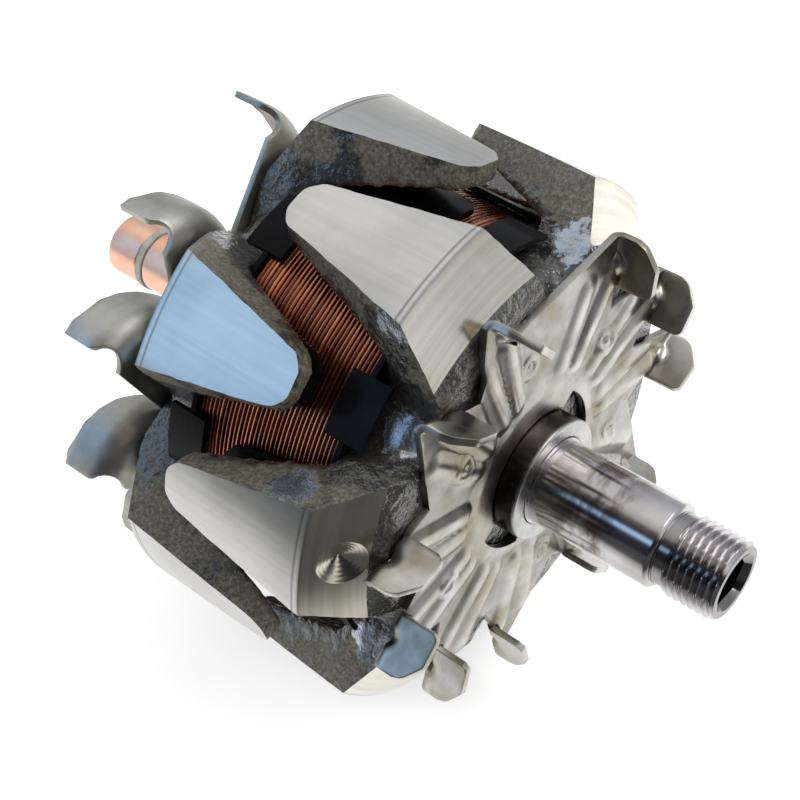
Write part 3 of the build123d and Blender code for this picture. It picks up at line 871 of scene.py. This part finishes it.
class Shading:
    """Node tree of a material or a world, and its shader."""

    def __init__(self, owner, shader):
        owner.use_nodes = True
        self.tree = owner.node_tree
        self.shader = self.tree.nodes[shader]

    def feed(self, socket, value):
        """Links an input to an output, or sets it to a number, a vector or a colour."""
        if isinstance(value, bpy.types.NodeSocket):
            self.tree.links.new(value, socket)
        else:
            socket.default_value = (*value, 1) if socket.type == "RGBA" else value

    def __setitem__(self, name, value):
        self.feed(self.shader.inputs[name], value)

    def node(self, kind, *values, **named):
        """New node, its inputs in order or by their names, its settings by names in small letters."""
        node = self.tree.nodes.new("ShaderNode" + kind)
        for name, value in named.items():
            if name.islower():
                setattr(node, name, value)
        inputs = list(zip(node.inputs, values))
        inputs += [(node.inputs[name], named[name]) for name in named if not name.islower()]
        for socket, value in inputs:
            self.feed(socket, value)
        return node

    def ramp(self, source, *stops):
        node = self.node("ValToRGB", source)
        elements = node.color_ramp.elements
        elements.remove(elements[1])
        for i, (position, tone) in enumerate(stops):
            element = elements.new(position) if i else elements[0]
            element.position = position
            element.color = (*tone, 1) if isinstance(tone, tuple) else (tone, tone, tone, 1)
        return node.outputs[0]

    def where(self, space="Object"):
        return self.node("TexCoord").outputs[space]

    def parts(self, space="Object"):
        return self.node("SeparateXYZ", self.where(space)).outputs

    def noise(self, scale, detail=4.0, roughness=0.55, stretch=(1, 1, 1)):
        """Noise over object space; stretch squeezes it along an axis."""
        mapping = self.node("Mapping", self.where(), Scale=stretch)
        return self.node("TexNoise", mapping.outputs[0], Scale=scale, Detail=detail,
                         Roughness=roughness).outputs["Fac"]

    def maths(self, operation, *values):
        return self.node("Math", *values, operation=operation).outputs[0]

    def mixed(self, factor, a, b, blend="MIX"):
        return self.node("Mix", data_type="RGBA", blend_type=blend,
                         Factor=factor, A=a, B=b).outputs["Result"]

    def multiplied(self, a, b):
        return self.mixed(1.0, a, b, "MULTIPLY")

    def towards(self, vector, direction):
        """Component of a vector along a fixed direction."""
        return self.node("VectorMath", vector, direction, operation="DOT_PRODUCT").outputs["Value"]

    def bump(self, height, strength, distance, **beneath):
        """Relief with its distance in millimetres, on top of the Normal beneath it if one is given."""
        return self.node("Bump", Strength=strength, Distance=distance * MM, Height=height,
                         **beneath).outputs["Normal"]

    def from_middle(self):
        """Distance along the shaft from the middle of the pole body, in decimetres."""
        x = self.maths("ADD", self.parts()["X"], SEAT_X * MM)
        return self.maths("MULTIPLY", self.maths("ABSOLUTE", x), 10.0)

    def from_axis(self):
        """Distance from the axis of the shaft, in decimetres."""
        parts = self.parts()
        squares = [self.maths("MULTIPLY", parts[axis], parts[axis]) for axis in ("Y", "Z")]
        return self.maths("MULTIPLY", self.maths("SQRT", self.maths("ADD", *squares)), 10.0)


DECIMETRE = 100
ROUND_MARKS = (1.0, 0.012, 0.012)
# Places on the flanks, in millimetres, of drops of varnish that get a painted bluish glint
VARNISH_GLINT_SPOTS = (
    (20.0, -26.9, 45.4), (24.2, -29.5, 25.4), (15.0, -46.8, 20.8),
    (23.8, -38.3, -21.5), (25.4, 16.8, 40.3),
)
# Painted reflection: the bluish tone of those glints
GLINT_BLUE = (0.44, 0.49, 0.56)
TURNED_LINES = (20.7, 21.9, 25.1, 25.9)
TURNED_LINE = (0.25, 0.24, 0.22)
STAIN = (0.12, 0.085, 0.08)
# Painted shade in the roots of the thread
THREAD_ROOT_SHADE = (0.24, 0.23, 0.23)
HEAT_TINT = (0.85, 0.80, 0.66)


materials = {}


def principled(name, metallic=0.0):
    """Node tree of a new material, which is kept in materials under its name."""
    materials[name] = bpy.data.materials.new(name)
    tree = Shading(materials[name], "Principled BSDF")
    tree["Metallic"] = metallic
    return tree


def metal(name, light, dark, roughness, blotch=60.0, marks=0.0, grain=0.0):
    """Worn metal: two tones in soft blotches, fine marks round the shaft and a fine grain."""
    tree = principled(name, 1.0)
    tree["Base Color"] = tree.ramp(tree.noise(blotch, 5.0, 0.6), (0.35, dark), (0.62, light))
    tree["Roughness"] = tree.ramp(tree.noise(blotch * 1.7, 4.0, 0.6),
                                  (0.3, roughness - 0.07), (0.7, roughness + 0.07))
    rings = tree.bump(tree.noise(3000.0, 2.0, 0.5, ROUND_MARKS), marks, 0.02)
    tree["Normal"] = tree.bump(tree.noise(2500.0, 2.0, 0.5), grain, 0.02, Normal=rings)


def fan_steel(name, light, dark, hollow_shade_tone, roughness):
    """Pressed sheet with faint heat tints, and painted shade that darkens the low sheet between the
    ribs.
    """
    tree = principled(name, 1.0)
    tint = tuple(c * d for c, d in zip(dark, HEAT_TINT))
    tone = tree.ramp(tree.noise(110.0, 5.0, 0.6), (0.33, tint), (0.45, dark), (0.62, light))
    # Painted shade: the sheet that lies lower than the ribs is painted darker.
    outer = (FACE_X + FAN_SHEET) / DECIMETRE
    hollow_shade = tree.ramp(tree.from_middle(), (outer, hollow_shade_tone), (outer + 0.009, 1.0))
    tree["Base Color"] = tree.multiplied(tone, hollow_shade)
    tree["Roughness"] = tree.ramp(tree.noise(190.0, 4.0, 0.6),
                                  (0.3, roughness - 0.08), (0.7, roughness + 0.08))
    tree["Normal"] = tree.bump(tree.noise(2500.0, 2.0, 0.5), 0.09, 0.02)


def turned_pole():
    """Lathe-turned poles: bright faces with faint streaks, fine arcs on a warmer shoulder that is
    painted paler than the faces as painted light.
    """
    tree = principled("turned_pole", 1.0)
    station = tree.from_middle()
    edge = SHOULDER_X / DECIMETRE
    shoulder = tree.ramp(station, (edge - 0.0004, 0.0), (edge + 0.0004, 1.0))
    blotches = tree.noise(45.0, 5.0, 0.6)
    face = tree.ramp(blotches, (0.35, (0.56, 0.55, 0.52)), (0.62, (0.67, 0.66, 0.64)))
    streaks = tree.ramp(tree.noise(800.0, 3.0, 0.6, (0.03, 1.0, 1.0)), (0.35, 0.91), (0.62, 1.0))
    # Painted light: the shoulder cone is painted paler than the faces of the same turned steel.
    cone = tree.ramp(blotches, (0.35, (0.68, 0.65, 0.53)), (0.62, (0.84, 0.81, 0.71)))
    arcs = tree.ramp(tree.noise(1500.0, 3.0, 0.6, (1.0, 0.01, 0.01)), (0.38, 0.86), (0.6, 1.0))
    tone = tree.mixed(shoulder, tree.multiplied(face, streaks), tree.multiplied(cone, arcs))
    stops = [(0.0, 0.0)]
    for line in TURNED_LINES:
        middle = line / DECIMETRE
        stops += [(middle - 0.001, 0.0), (middle, 1.0), (middle + 0.001, 0.0)]
    tree["Base Color"] = tree.mixed(tree.ramp(station, *stops), tone, TURNED_LINE)
    tree["Roughness"] = tree.ramp(shoulder, (0.0, 0.28), (1.0, 0.21))
    tree["Normal"] = tree.bump(tree.noise(3200.0, 2.0, 0.5, ROUND_MARKS), 0.35, 0.02)


def shaft_steel():
    """Ground steel with brown stains on the journal and painted shade in the roots of the thread."""
    tree = principled("shaft_steel", 1.0)
    tone = tree.ramp(tree.noise(70.0, 5.0, 0.6),
                     (0.35, (0.42, 0.39, 0.39)), (0.62, (0.58, 0.56, 0.57)))
    patches = tree.ramp(tree.noise(190.0, 5.0, 0.65, (1.0, 0.5, 0.5)), (0.48, 0.0), (0.60, 0.8))
    worn = tree.ramp(tree.from_middle(), (0.40, 0.0), (0.45, 1.0), (0.51, 1.0), (0.57, 0.0))
    tone = tree.mixed(tree.maths("MULTIPLY", patches, worn), tone, STAIN)
    # Painted shade: the bottoms of the thread's grooves are painted darker.
    root = THREAD_ROOT_R / DECIMETRE
    root_shade = tree.ramp(tree.from_axis(), (root + 0.0003, 1.0), (root + 0.0023, 0.0))
    tree["Base Color"] = tree.mixed(root_shade, tone, THREAD_ROOT_SHADE)
    tree["Roughness"] = tree.ramp(tree.noise(120.0, 4.0, 0.6), (0.3, 0.12), (0.7, 0.19))
    tree["Normal"] = tree.bump(tree.noise(2600.0, 2.0, 0.5, ROUND_MARKS), 0.12, 0.02)


def forged_pole():
    """Scaled skin, tan where bare, black where varnish has run and, low on the flanks near the coil,
    also as painted shade, with painted bluish glints on drops of varnish.
    """
    tree = principled("forged_pole")
    where = tree.where()
    glint_near = 0.0
    # Painted glints: bluish metal patches at the listed places stand in for the window's reflection in
    # drops of varnish.
    for glint_spot in VARNISH_GLINT_SPOTS:
        away = tree.node("VectorMath", where, place(*glint_spot), operation="DISTANCE").outputs["Value"]
        near = tree.ramp(tree.maths("MULTIPLY", away, 10.0), (0.02, 0.40), (0.068, 0.0))
        glint_near = tree.maths("MAXIMUM", glint_near, near)
    broken = tree.noise(380.0, 4.0, 0.7)
    glints = tree.ramp(tree.maths("ADD", glint_near, broken), (0.74, 0.0), (0.80, 1.0))
    # Black low on the flanks, near the coil: partly real varnish, partly painted shade under the
    # claws.
    low = tree.ramp(tree.from_axis(), (0.44, 0.20), (0.508, 0.01))
    patches = tree.noise(85.0, 4.0, 0.65)
    varnish = tree.ramp(tree.maths("ADD", patches, low), (0.55, 0.02), (0.63, 1.0))
    speckle = tree.noise(1300.0, 5.0, 0.75)
    bare = tree.ramp(speckle, (0.32, (0.065, 0.059, 0.043)), (0.5, (0.17, 0.156, 0.116)),
                     (0.7, (0.36, 0.335, 0.265)))
    wet_and_shaded = tree.ramp(speckle, (0.35, (0.012, 0.011, 0.010)), (0.7, (0.07, 0.064, 0.054)))
    tree["Base Color"] = tree.mixed(glints, tree.mixed(varnish, bare, wet_and_shaded), GLINT_BLUE)
    tree["Metallic"] = tree.ramp(glints, (0.0, 0.25), (1.0, 0.9))
    rough = tree.ramp(tree.noise(200.0), (0.3, 0.4), (0.7, 0.65))
    tree["Roughness"] = tree.maths("MULTIPLY", rough, tree.ramp(glints, (0.0, 1.0), (1.0, 0.4)))
    coarse = tree.bump(tree.noise(420.0, 4.0, 0.6), 0.5, 0.35)
    tree["Normal"] = tree.bump(tree.noise(1500.0, 3.0, 0.6), 0.4, 0.12, Normal=coarse)
    tree["Coat Weight"] = varnish
    tree["Coat Roughness"] = 0.05
    tree["Coat IOR"] = 1.8
    tree["Coat Normal"] = tree.bump(tree.noise(480.0, 3.0), 0.9, 0.9)


def collar_steel():
    """Collar with a machined outer face and a side painted near-black as painted shade."""
    tree = principled("collar_steel", 1.0)
    blotches = tree.noise(150.0, 4.0, 0.6)
    face = tree.ramp(blotches, (0.35, (0.42, 0.42, 0.41)), (0.65, (0.56, 0.56, 0.55)))
    # Painted shade: the side of the collar, in the shadow of the fan, is painted near-black.
    side = tree.ramp(blotches, (0.35, (0.035, 0.03, 0.03)), (0.7, (0.12, 0.10, 0.095)))
    end = FRONT_COLLAR_X / DECIMETRE
    outer = tree.ramp(tree.from_middle(), (end - 0.006, 0.0), (end - 0.002, 1.0))
    tree["Base Color"] = tree.mixed(outer, side, face)
    grain = tree.noise(900.0, 3.0, 0.5)
    tree["Roughness"] = tree.ramp(grain, (0.3, 0.24), (0.7, 0.4))
    tree["Normal"] = tree.bump(grain, 0.1, 0.02)


def copper_turns():
    """Enamelled wire with a painted highlight on the crown of each turn and painted shade between
    turns.
    """
    tree = principled("copper_turns", 1.0)
    depth = tree.maths("SUBTRACT", tree.from_axis(), (WINDING_R - WIRE_DEPTH) / DECIMETRE)
    height = tree.maths("DIVIDE", depth, WIRE_DEPTH / DECIMETRE)
    # Painted highlight and shade: bright orange on the crown of each turn, near-black in the gaps
    # between turns.
    tone = tree.ramp(height, (0.2, (0.012, 0.003, 0.002)), (0.6, (0.50, 0.10, 0.022)),
                     (0.92, (1.0, 0.40, 0.13)))
    per_turn = tree.ramp(tree.noise(320.0, 3.0, 0.6, (1.0, 0.1, 0.1)),
                         (0.32, (0.50, 0.40, 0.36)), (0.6, 1.0))
    tree["Base Color"] = tree.multiplied(tone, per_turn)
    tree["Roughness"] = tree.ramp(tree.noise(500.0), (0.3, 0.2), (0.7, 0.32))
    tree["Coat Weight"] = 0.8
    tree["Coat Roughness"] = 0.06


def plastic(name, colour, roughness, grain, shine=0.5):
    """Moulded plastic with paler specks, a fine grain and slightly rounded edges."""
    tree = principled(name)
    pale = tuple(min(1, c * 1.8) for c in colour)
    tree["Base Color"] = tree.ramp(tree.noise(300.0, 4.0, 0.6), (0.3, colour), (0.75, pale))
    tree["Roughness"] = roughness
    tree["Specular IOR Level"] = shine
    edge = tree.node("Bevel", Radius=0.25 * MM).outputs[0]
    tree["Normal"] = tree.bump(tree.noise(900.0, 3.0, 0.6), grain, 0.05, Normal=edge)


turned_pole()
forged_pole()
shaft_steel()
fan_steel("front_fan_steel", (0.62, 0.61, 0.57), (0.46, 0.44, 0.38), 0.66, 0.33)
# Painted shade: the rear fan gets a darker copy of the front fan's steel.
fan_steel("rear_fan_steel_shaded", (0.50, 0.495, 0.46), (0.40, 0.39, 0.355), 1.0, 0.47)
collar_steel()
metal("ring_copper", (0.93, 0.58, 0.43), (0.84, 0.46, 0.32), 0.34, 120.0, 0.3)
copper_turns()
plastic("bobbin_plastic", (0.004, 0.004, 0.005), 0.2, 0.5, 0.07)
plastic("moulding", (0.40, 0.39, 0.36), 0.5, 0.2)
metal("terminal_brass", (0.66, 0.42, 0.25), (0.50, 0.30, 0.16), 0.35, grain=0.1)
metal("lead_copper", (0.70, 0.38, 0.24), (0.50, 0.24, 0.13), 0.35, grain=0.1)
plastic("sleeve", (0.05, 0.035, 0.025), 0.75, 0.6)


def dress(piece, material, *nodes):
    """The piece takes the material, rides on the part and stands for the CAD nodes."""
    if not piece.data.materials:
        piece.data.materials.append(materials[material])
    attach(piece, "root")
    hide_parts(*nodes)


dress(shaft(), "shaft_steel", "shaft")
dress(winding(), "copper_turns", "field_winding")
dress(front_fan(), "front_fan_steel", "front_fan")
dress(rear_fan(), "rear_fan_steel_shaded", "rear_fan")
for side, phase, x_sign in (("front", FRONT_PHASE, 1), ("rear", REAR_PHASE, -1)):
    dress(pole_half(side + "_pole_half", phase, x_sign), None, side + "_claw_pole")
    inner = FRONT_COLLAR_SEAT_R if x_sign > 0 else REAR_COLLAR_SEAT_R
    end = FRONT_COLLAR_X if x_sign > 0 else REAR_COLLAR_X
    profile = [(FACE_X * x_sign, inner), (FACE_X * x_sign, COLLAR_R), (end, COLLAR_R), (end, inner)]
    dress(turned(side + "_collar_turned", rounded(profile, EDGE_BREAK)), "collar_steel",
          side + "_collar")
for name, start in zip(("outer", "inner"), RING_STARTS):
    profile = [(start, RING_BORE_R), (start, RING_R), (start + RING_WIDTH, RING_R),
               (start + RING_WIDTH, RING_BORE_R)]
    dress(turned("ring_" + name, rounded(profile, RING_EDGE)), "ring_copper",
          "slip_ring_" + name)
for node, material in {
    "pole_core": "turned_pole",
    "coil_bobbin": "bobbin_plastic",
    "slip_ring_body": "moulding",
    "terminal_a": "terminal_brass",
    "terminal_b": "terminal_brass",
    "lead_wire_a": "lead_copper",
    "lead_wire_b": "lead_copper",
    "lead_sleeve_a": "sleeve",
    "lead_sleeve_b": "sleeve",
}.items():
    slots = frame["nodes"][node].data.materials
    slots.clear()
    slots.append(materials[material])


# Floor, light and camera

STUDIO_STRENGTH = 1.5
SOFT_LIGHT = 0.62
# Tones of the studio by the angle that climbs from the front over the top
STUDIO = (
    (-180, 0.42),
    (-37, 0.60),
    (-26, (0.035, 0.03, 0.03)),
    (20, (0.012, 0.012, 0.018)),
    (48, (0.03, 0.025, 0.025)),
    (60, (0.12, 0.10, 0.095)),
    (68, (0.42, 0.41, 0.40)),
    (88, (0.62, 0.61, 0.60)),
    (112, (0.61, 0.61, 0.62)),
    (132, (0.48, 0.50, 0.53)),
    (160, (0.34, 0.35, 0.37)),
    (180, 0.42),
)
WINDOW = (0.42, 0.64, 0.92)
WINDOW_AZIMUTH = -137
WINDOW_ELEVATION = 27
WINDOW_REACH = 25.5
WINDOW_BLUR = 2.5
WINDOW_EDGE = (0.42, 0.50)
STRIP_ANGLES = (26, 30, 37, 41)
STRIP_END = (0.10, 0.18)

FLOOR_REACH = 3000.0
FLOOR_TONE = (0.86, 0.86, 0.86)
FLOOR_GLOW = 0.6
BEYOND_TABLE = (0.03, 0.03, 0.03)

LAMP_AT = (0.55, 0.35, 0.95)
LAMP_TARGET = (-0.03, 0, 0)
LAMP_SIZE = (0.8, 0.6)
LAMP_POWER = 4.0


def floor():
    """Pale floor, which polished metal sees fade into the dark past the table's front edge."""
    corners = ((-1, -1), (1, -1), (1, 1), (-1, 1))
    verts = [(SEAT_X + x * FLOOR_REACH, y * FLOOR_REACH, -POLE_R) for x, y in corners]
    piece = new_piece("floor", verts, [(0, 1, 2, 3)])
    tree = principled("floor_white")
    rays = tree.node("LightPath").outputs
    glossy = rays["Is Glossy Ray"]
    near = tree.ramp(tree.towards(tree.where(), TABLE_FRONT), (TABLE_PALE, 1.0), (TABLE_END, 0.04))
    gone = tree.maths("MULTIPLY", glossy, tree.maths("SUBTRACT", 1.0, near))
    tree["Base Color"] = tree.mixed(gone, FLOOR_TONE, BEYOND_TABLE)
    tree["Roughness"] = 0.9
    seen = tree.maths("MAXIMUM", rays["Is Camera Ray"], tree.maths("MULTIPLY", glossy, near))
    tree["Emission Color"] = (1, 1, 1)
    tree["Emission Strength"] = tree.maths("MULTIPLY", seen, FLOOR_GLOW)
    piece.data.materials.append(materials["floor_white"])


def world():
    """White studio: pale ceiling, a dark band past the table's front edge, a sky-lit window."""
    sky = bpy.data.worlds.new("studio")
    bpy.context.scene.world = sky
    tree = Shading(sky, "Background")
    parts = tree.parts("Generated")
    climb = tree.maths("ARCTAN2", parts["Z"], tree.maths("MULTIPLY", parts["Y"], -1.0))
    share = tree.maths("MULTIPLY_ADD", climb, 1 / (2 * pi), 0.5)

    def climbing(stops):
        return tree.ramp(share, *((angle / 360 + 0.5, tone) for angle, tone in stops))

    rearward = tree.maths("MULTIPLY", parts["X"], -1.0)
    a, e = radians(WINDOW_AZIMUTH), radians(WINDOW_ELEVATION)
    middle = (cos(a) * cos(e), sin(a) * cos(e), sin(e))
    rim = [cos(radians(WINDOW_REACH + blur)) for blur in (WINDOW_BLUR, -WINDOW_BLUR)]
    pane = tree.ramp(tree.towards(tree.where("Generated"), middle), *zip(rim, (0.0, 1.0)))
    pane = tree.maths("MULTIPLY", pane, tree.ramp(rearward, *zip(WINDOW_EDGE, (0.0, 1.0))))
    strip = climbing(zip(STRIP_ANGLES, (0.0, 1.0, 1.0, 0.0)))
    strip = tree.maths("MULTIPLY", strip, tree.ramp(rearward, *zip(STRIP_END, (0.0, 1.0))))
    window = tree.maths("MAXIMUM", pane, strip)
    tree["Color"] = tree.mixed(window, climbing(STUDIO), WINDOW)
    tree["Strength"] = STUDIO_STRENGTH
    rays = tree.node("LightPath").outputs
    output = tree.shader.outputs[0]
    for ray, level in (("Is Diffuse Ray", SOFT_LIGHT), ("Is Camera Ray", 1.0)):
        plain = tree.node("Background", (1, 1, 1), level).outputs[0]
        output = tree.node("MixShader", rays[ray], output, plain).outputs[0]
    tree.feed(sky.node_tree.nodes["World Output"].inputs["Surface"], output)


def lamp():
    light = bpy.data.lights.new("key", "AREA")
    light.shape = "RECTANGLE"
    light.size, light.size_y = LAMP_SIZE
    light.energy = LAMP_POWER
    holder = bpy.data.objects.new("key", light)
    holder.location = LAMP_AT
    direction = Vector(LAMP_TARGET) - Vector(LAMP_AT)
    holder.rotation_euler = direction.to_track_quat("-Z", "Y").to_euler()
    bpy.context.scene.collection.objects.link(holder)


def camera():
    azimuth = radians(CAMERA_AZIMUTH)
    elevation = radians(CAMERA_ELEVATION)
    back = Vector((sin(azimuth) * cos(elevation), -cos(azimuth) * cos(elevation), sin(elevation)))
    right = Vector((cos(azimuth), sin(azimuth), 0))
    up = back.cross(right)
    eye = back * CAMERA_DISTANCE + right * CAMERA_SIDE + up * CAMERA_LIFT
    data = bpy.data.cameras.new("camera")
    data.lens = CAMERA_LENS
    data.sensor_width = 36
    data.clip_start = 0.01
    holder = bpy.data.objects.new("camera", data)
    turn = Matrix((right, up, back)).transposed().to_4x4()
    holder.matrix_world = Matrix.Translation(place(*eye)) @ turn
    bpy.context.scene.collection.objects.link(holder)
    bpy.context.scene.camera = holder


floor()
world()
lamp()
camera()
bpy.context.scene.view_settings.view_transform = "Standard"
